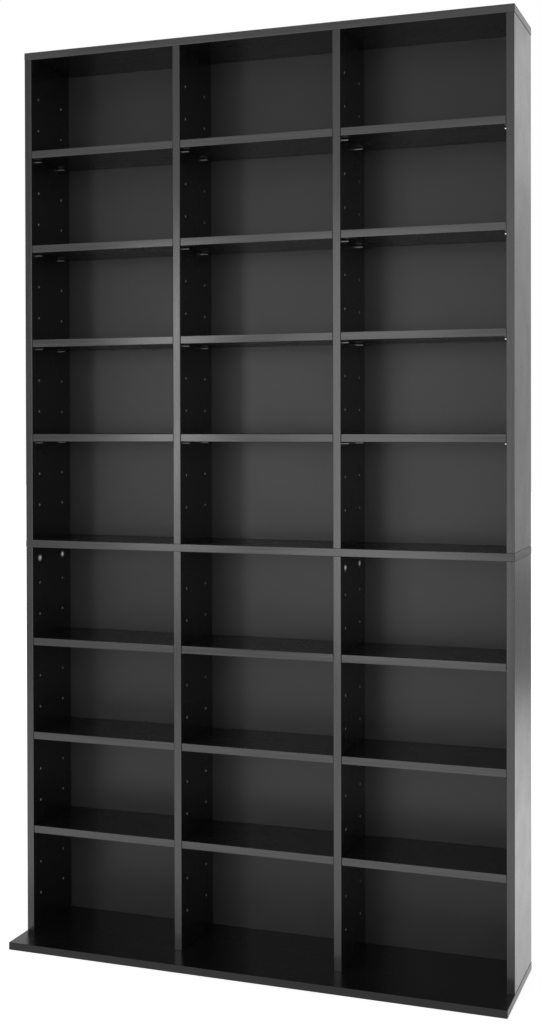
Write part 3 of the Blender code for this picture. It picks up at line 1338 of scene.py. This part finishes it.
@dataclass(frozen=True)
class CamLocks:
    """The cam locks: a rimmed disc with a drive cross, slotted behind for the bolt."""

    sides: int = 32
    rim: float = 0.0009
    rim_height: float = 0.0003
    edge: float = 0.0003
    cross_span: float = 0.008
    cross_width: float = 0.0016
    cross_depth: float = 0.0018
    slot_start: float = 0.0015
    slot_half: float = 0.0037
    slot_depth: float = 0.0074

    def pattern(self, radius: float, length: float, palette: Palette) -> Object:
        """Make one cam along Z, its face at the origin and its drive cross upwards.

        Args:
            radius: The disc's radius.
            length: How deep it reaches.
            palette: The finishes.

        Returns:
            The cam, with its slot open towards +X.
        """
        inner = radius - self.rim
        piece = add_turned("cam_pattern", (
            (radius - self.edge, -length),
            (radius, -length + self.edge),
            (radius, -self.edge),
            (radius - self.edge, 0),
            (inner, 0),
            (inner - self.edge, -self.rim_height),
        ), self.sides)
        piece.data.materials.append(palette.cast)
        cross = add_cross(self.cross_span, self.cross_width, -self.cross_depth, OVERRUN)
        carve(piece, [cross], palette.cast)
        slot = add_block(
            "slot", Vector((-self.slot_start, -self.slot_half, -length - OVERRUN)),
            Vector((radius + OVERRUN, self.slot_half, -length + self.slot_depth)))
        carve(piece, [slot], palette.cast)
        smooth(piece, TURNED_ANGLE)
        return piece

    def spots(self) -> Iterator[Spot]:
        """Give the places of the cams, each with its slot upwards to its bolt.

        Yields:
            The place of each cam.
        """
        for name in CELL_FACES:
            bolt_x = middle_of(f"lower_{name}_{ROWS[0]}_cam_bolt").x
            for row in ROWS:
                node = f"lower_{name}_{row}_cam"
                low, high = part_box(node)
                middle = (low + high) / 2
                side = 1 if middle.x > bolt_x else -1
                face = Vector((high.x if side > 0 else low.x, middle.y, middle.z))
                turn = Matrix(((0, 0, side), (0, -side, 0), (1, 0, 0))).to_4x4()
                yield Spot(node + "_cast", Matrix.Translation(face) @ turn, node)

    def build(self, palette: Palette) -> list[Object]:
        """Make the cams in the heads of the lower uprights.

        Args:
            palette: The finishes.

        Returns:
            The cams.
        """
        low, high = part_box(f"lower_left_side_{ROWS[0]}_cam")
        pattern = self.pattern((high.z - low.z) / 2, high.x - low.x, palette)
        return set_out(pattern, Slot.ZINC, self.spots())


@dataclass(frozen=True)
class CamBolts:
    """The bolts screwed up into the middle board, each with its head in a cam."""

    head_radius: float = 0.0035
    head_height: float = 0.003
    neck_radius: float = 0.00225
    neck_length: float = 0.006
    shank_radius: float = 0.003
    thread_radius: float = 0.0025
    root_radius: float = 0.0020
    thread_length: float = 0.009
    thread_pitch: float = 0.0015
    ring_shares: tuple[float, float] = (0.5, 1.0)
    edge: float = 0.0003
    sides: int = 20

    def pattern(self, length: float, palette: Palette) -> Object:
        """Turn one bolt along Z, standing on the origin.

        Args:
            length: The bolt's whole length.
            palette: The finishes.

        Returns:
            The bolt.
        """
        neck_top = self.head_height + self.neck_length
        thread_start = length - self.thread_length
        radii = (self.thread_radius, self.root_radius)
        piece = add_turned("bolt_pattern", (
            (self.head_radius - self.edge, 0),
            (self.head_radius, self.edge),
            (self.head_radius, self.head_height - self.edge),
            (self.head_radius - self.edge, self.head_height),
            (self.neck_radius, self.head_height + self.edge),
            (self.neck_radius, neck_top),
            (self.shank_radius, neck_top + self.edge),
            (self.shank_radius, thread_start - self.edge),
            (self.root_radius, thread_start),
            *thread(thread_start, self.thread_pitch,
                    round(self.thread_length / self.thread_pitch),
                    tuple(zip(radii, self.ring_shares))),
        ), self.sides)
        piece.data.materials.append(palette.plated)
        smooth(piece, TURNED_ANGLE)
        return piece

    def build(self, palette: Palette) -> list[Object]:
        """Make the eight bolts.

        Args:
            palette: The finishes.

        Returns:
            The bolts.
        """
        nodes = [f"lower_{name}_{row}_cam_bolt" for name in CELL_FACES for row in ROWS]
        low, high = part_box(nodes[0])
        return set_out(self.pattern(high.z - low.z, palette), Slot.STEEL, (
            Spot(node + "_plated", foot_of(node), node) for node in nodes))


@dataclass(frozen=True)
class FootScrews:
    """The countersunk screws that hold the lower uprights down on the base board."""

    shank_radius: float = 0.0019
    root_radius: float = 0.0014
    head_height: float = 0.003
    head_lip: float = 0.0003
    tip_length: float = 0.004
    tip_radius: float = 0.0002
    thread_pitch: float = 0.0018
    ring_shares: Triple = (0.25, 0.5, 0.75)
    thread_share: float = 0.62
    cross_span: float = 0.004
    cross_width: float = 0.0009
    cross_depth: float = 0.0016
    sides: int = 20

    def pattern(self, radius: float, length: float, palette: Palette) -> Object:
        """Turn one screw along Z, its head on the origin.

        Args:
            radius: The head's radius.
            length: The screw's whole length.
            palette: The finishes.

        Returns:
            The screw.
        """
        thread_start = length * (1 - self.thread_share)
        thread_end = length - self.tip_length
        radii = (self.root_radius, self.root_radius, self.shank_radius)
        piece = add_turned("screw_pattern", (
            (radius, 0),
            (radius, self.head_lip),
            (self.shank_radius, self.head_height),
            (self.shank_radius, thread_start),
            *thread(thread_start, self.thread_pitch,
                    int((thread_end - thread_start) / self.thread_pitch),
                    tuple(zip(radii, self.ring_shares))),
            (self.root_radius, thread_end),
            (self.tip_radius, length),
        ), self.sides)
        piece.data.materials.append(palette.plated)
        cross = add_cross(self.cross_span, self.cross_width, -OVERRUN, self.cross_depth)
        carve(piece, [cross], palette.plated)
        smooth(piece, TURNED_ANGLE)
        return piece

    def build(self, palette: Palette) -> list[Object]:
        """Make the four screws.

        Args:
            palette: The finishes.

        Returns:
            The screws.
        """
        nodes = [f"lower_{name}_foot_screw" for name in CELL_FACES]
        low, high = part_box(nodes[0])
        pattern = self.pattern((high.x - low.x) / 2, high.z - low.z, palette)
        return set_out(pattern, Slot.STEEL, (
            Spot(node + "_plated", foot_of(node), node) for node in nodes))


@dataclass(frozen=True)
class Dowels:
    """The fluted beech dowels between the uprights and the boards."""

    places: Places
    radius: float = 0.004
    proud: float = 0.010
    embed: float = 0.018
    edge: float = 0.0008
    flute_share: float = 0.93
    sides: int = 24
    smooth_angle: float = math.radians(25)

    def pattern(self, palette: Palette) -> Object:
        """Turn one dowel along Z, its proud end downwards, and press its flutes in.

        Args:
            palette: The finishes.

        Returns:
            The dowel.
        """
        piece = add_turned("dowel_pattern", (
            (self.radius - self.edge, -self.proud),
            (self.radius, -self.proud + self.edge),
            (self.radius, self.embed - self.edge),
            (self.radius - self.edge, self.embed),
        ), self.sides)
        step = 2 * math.pi / self.sides
        share = self.flute_share
        with editing(piece, Part.VERT):
            pick(piece, Part.VERT, lambda corner: round(
                math.atan2(corner.co.y, corner.co.x) / step) % 2 == 1)
            bpy.ops.transform.resize(value=(share, share, 1), center_override=(0, 0, 0))
        piece.data.materials.append(palette.beech)
        smooth(piece, self.smooth_angle)
        return piece

    def spots(self) -> Iterator[Spot]:
        """Give the places of the dowels, upright by upright.

        Yields:
            The place of each dowel.
        """
        for upright in self.places.uprights():
            ends = {"foot": (upright.foot, Matrix.Identity(4))}
            if upright.module is Module.UPPER:
                ends["head"] = (upright.head, Matrix.Rotation(math.pi, 4, "X"))
            for end, (height, turn) in ends.items():
                for row, y in zip(ROWS, self.places.dowel_rows()):
                    place = Matrix.Translation(Vector((upright.centre, y, height)))
                    yield Spot(f"{upright.node}_{end}_{row}_dowel", place @ turn)

    def build(self, palette: Palette) -> list[Object]:
        """Put dowels into the ends of the uprights."""
        return set_out(self.pattern(palette), Slot.LAMINATE, self.spots())


# The room around the rack


@dataclass(frozen=True)
class Softbox:
    """One upright white panel in front of the rack, lit evenly from behind."""

    name: str
    left: float
    right: float
    bottom: float
    top: float
    glow: float

    def build(self, wall: float) -> Object:
        """Hang the panel facing the rack.

        Args:
            wall: The Y of the panel.

        Returns:
            The lamp.
        """
        data = bpy.data.lights.new(self.name, "AREA")
        data.shape = "RECTANGLE"
        data.size = self.right - self.left
        data.size_y = self.top - self.bottom
        data.energy = math.pi * data.size * data.size_y * self.glow
        lamp = bpy.data.objects.new(self.name, data)
        lamp.rotation_euler = (math.pi / 2, 0, 0)
        lamp.location = ((self.left + self.right) / 2, wall, (self.bottom + self.top) / 2)
        lamp.visible_camera = False
        bpy.context.scene.collection.objects.link(lamp)
        return lamp


@dataclass(frozen=True)
class Studio:
    """The panels that stand in front of the rack, the brightest at its left."""

    wall: float = -3.0
    layer: float = 0.01
    panels: tuple[Softbox, ...] = (
        Softbox("key", -1.70, -1.25, 0.25, 1.9, 1.5),
        Softbox("key_core", -1.65, -1.30, 0.75, 1.70, 2.3),
        Softbox("second", -0.95, -0.35, 0.25, 1.85, 1.3),
        Softbox("left_wall", -1.70, -0.2, 0.3, 1.8, 0.65),
        Softbox("third", 0.2, 1.4, 0.7, 1.65, 1.0),
        Softbox("right_wall", -0.4, 1.6, 0.4, 2.0, 0.55),
        Softbox("high_wall", -1.75, 0.6, 1.8, 2.6, 0.42),
        Softbox("low_fill", -0.8, -0.08, 0.05, 0.40, 1.1),
    )

    def build(self) -> list[Object]:
        """Hang the panels, each a little behind the one before."""
        return [panel.build(self.wall - index * self.layer)
                for index, panel in enumerate(self.panels)]


@dataclass(frozen=True)
class Surround:
    """The rest of the studio: white to the camera, and shaded as a room is to all else.

    The marks give the brightness by the sine of the height above the horizon.
    """

    rear: Marks = (
        (0.0, 0.66), (0.05, 0.70), (0.12, 0.77), (0.22, 1.35), (0.32, 0.70), (0.45, 0.30),
        (1.0, 0.42))
    left: Marks = ((0.0, 0.40), (0.20, 0.50), (0.50, 0.35), (1.0, 0.35))
    right: Marks = ((0.0, 1.9), (0.24, 1.1), (0.60, 0.50), (1.0, 0.45))
    brightest: float = 2.0
    right_start: float = 0.35
    right_end: float = 0.65
    rear_start: float = -0.05
    rear_end: float = 0.05

    def build(self) -> bpy.types.World:
        """Build the world.

        Returns:
            The world, which is the scene's own.
        """
        world = bpy.data.worlds.new("white_surround")
        bpy.context.scene.world = world
        world.use_nodes = True
        world.node_tree.nodes.clear()
        graph = Graph(world.node_tree)
        way = graph.add("ShaderNodeTexCoord").outputs["Generated"]
        split = graph.add("ShaderNodeSeparateXYZ", {"Vector": way}).outputs
        left, right, rear = (graph.curve(split["Z"], marks, self.brightest)
                             for marks in (self.left, self.right, self.rear))
        to_right = graph.spread(split["X"], self.right_start, self.right_end)
        to_rear = graph.spread(split["Y"], self.rear_start, self.rear_end)
        glow = graph.choose(to_rear, graph.choose(to_right, left, right), rear)
        room = graph.add("ShaderNodeBackground", {"Color": glow})
        white = graph.add("ShaderNodeBackground", {"Color": (1, 1, 1, 1)})
        path = graph.add("ShaderNodeLightPath").outputs
        seen = graph.math("MAXIMUM", path["Is Camera Ray"], path["Is Transmission Ray"])
        both = graph.add("ShaderNodeMixShader", {
            0: seen, 1: room.outputs["Background"], 2: white.outputs["Background"]})
        graph.add("ShaderNodeOutputWorld", {"Surface": both.outputs["Shader"]})
        return world


@dataclass(frozen=True)
class Floor:
    """The pale floor, which keeps the rack's shadow and fades to white far away.

    Reflections see a painted glow on it, brighter behind the rack than in front, as a lit
    sweep is. The glow is given by the depth behind the rack and by the distance aside,
    with painted shade just in front of the rack and round its foot.
    """

    size: float = 40.0
    patches: int = 8
    colour: Triple = (0.80, 0.80, 0.80)
    near: float = 0.9
    far: float = 3.0
    near_lift: float = 0.75
    far_lift: float = 1.0
    foot: float = 0.5
    foot_shade_share: float = 0.75
    # Painted glow seen in reflections, by depth; the dip just in front of the rack is painted
    # shade
    lift_by_depth: Marks = (
        (-3.0, 0.45), (-1.3, 0.80), (-0.45, 1.0), (-0.30, 0.55), (-0.18, 0.52), (0.0, 1.15),
        (1.2, 1.10), (2.4, 0.74), (3.4, 0.0), (7.0, 0.0), (10.0, 0.32), (20.0, 0.38))
    share_by_side: Marks = (
        (-1.9, 0.55), (-1.0, 1.0), (-0.6, 1.0), (-0.2, 1.12), (0.0, 1.12), (0.25, 1.0), (1.0, 1.0))
    brightest: float = 1.15

    def dress(self) -> Material:
        """Build the floor's material.

        Returns:
            The material.
        """
        material = bpy.data.materials.new("pale_floor")
        material.use_nodes = True
        graph = Graph(material.node_tree)
        place = graph.place()
        split = graph.add("ShaderNodeSeparateXYZ", {"Vector": place}).outputs
        reach = graph.add("ShaderNodeVectorMath", {0: place}, operation="LENGTH").outputs["Value"]
        lift = graph.math(
            "MULTIPLY", graph.curve(split["X"], self.share_by_side, self.brightest),
            graph.curve(split["Y"], self.lift_by_depth, self.brightest))
        # Painted shade: the glow seen in reflections is dimmed round the rack's foot
        clear = graph.spread(reach, self.foot, self.near, self.foot_shade_share, 1.0)
        seen = graph.spread(reach, self.near, self.far, self.near_lift, self.far_lift)
        path = graph.add("ShaderNodeLightPath").outputs
        # Camera rays see the floor lifted to white; glossy rays see the painted glow
        light = graph.math(
            "ADD", graph.math("MULTIPLY", path["Is Camera Ray"], seen),
            graph.math("MULTIPLY", path["Is Glossy Ray"], graph.math("MULTIPLY", lift, clear)))
        shader = material.node_tree.nodes["Principled BSDF"]
        for name, value in {
            "Base Color": (*self.colour, 1),
            "Roughness": 1.0,
            "Specular IOR Level": 0.0,
            "Emission Color": (1, 1, 1, 1),
            "Emission Strength": light,
        }.items():
            graph.feed(shader.inputs[name], value)
        return material

    def build(self) -> Object:
        """Lay the floor.

        Returns:
            The floor.
        """
        deselect_all()
        bpy.ops.mesh.primitive_grid_add(
            x_subdivisions=self.patches, y_subdivisions=self.patches, size=self.size,
            location=(0, 0, 0))
        floor = settle("floor")
        floor.data.materials.append(self.dress())
        return floor


@dataclass(frozen=True)
class View:
    """The camera that took the picture: right of the rack, at chest height."""

    place: Triple = (0.9738, -2.6808, 1.0484)
    yaw: float = 0.35457
    pitch: float = -0.00882
    roll: float = -0.00223
    focal_pixels: float = 1457.92
    image_width: int = 542
    image_height: int = 1024
    axis_column: float = 255.12
    axis_row: float = 437.94
    sensor: float = 36.0

    def build(self) -> Object:
        """Set up the camera and make it the scene's own.

        Returns:
            The camera.
        """
        forward = Vector((
            -math.sin(self.yaw) * math.cos(self.pitch),
            math.cos(self.yaw) * math.cos(self.pitch),
            math.sin(self.pitch)))
        level = Vector((math.cos(self.yaw), math.sin(self.yaw), 0))
        above = level.cross(forward)
        right = level * math.cos(self.roll) + above * math.sin(self.roll)
        up = right.cross(forward)
        data = bpy.data.cameras.new("view")
        longest = max(self.image_width, self.image_height)
        data.sensor_width = self.sensor
        data.lens = self.focal_pixels * self.sensor / longest
        data.shift_x = (self.image_width / 2 - self.axis_column) / longest
        data.shift_y = (self.axis_row - self.image_height / 2) / longest
        camera = bpy.data.objects.new("view", data)
        turn = Matrix((right, up, -forward)).transposed().to_4x4()
        camera.matrix_world = Matrix.Translation(Vector(self.place)) @ turn
        bpy.context.scene.collection.objects.link(camera)
        bpy.context.scene.camera = camera
        return camera


def main() -> None:
    """Build the rack's sub-assemblies in order, then the room."""
    logging.basicConfig(level=logging.INFO, format="%(name)s: %(message)s")
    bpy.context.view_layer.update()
    palette = Palette()
    places = Places()
    joinery = Joinery()
    report("long boards", LongBoards(joinery, places).build(palette))
    report("sides and dividers", Sides(joinery, places).build(palette))
    report("shelves", Shelves(joinery, places).build(palette))
    report("backs", Backs().build(palette))
    report("shelf pins", ShelfPins(places).build(palette))
    report("cam locks", CamLocks().build(palette))
    report("cam bolts", CamBolts().build(palette))
    report("foot screws", FootScrews().build(palette))
    report("dowels", Dowels(places).build(palette))
    Surround().build()
    Floor().build()
    Studio().build()
    View().build()
    bpy.context.scene.view_settings.view_transform = "Standard"


if __name__ == "__main__":
    main()
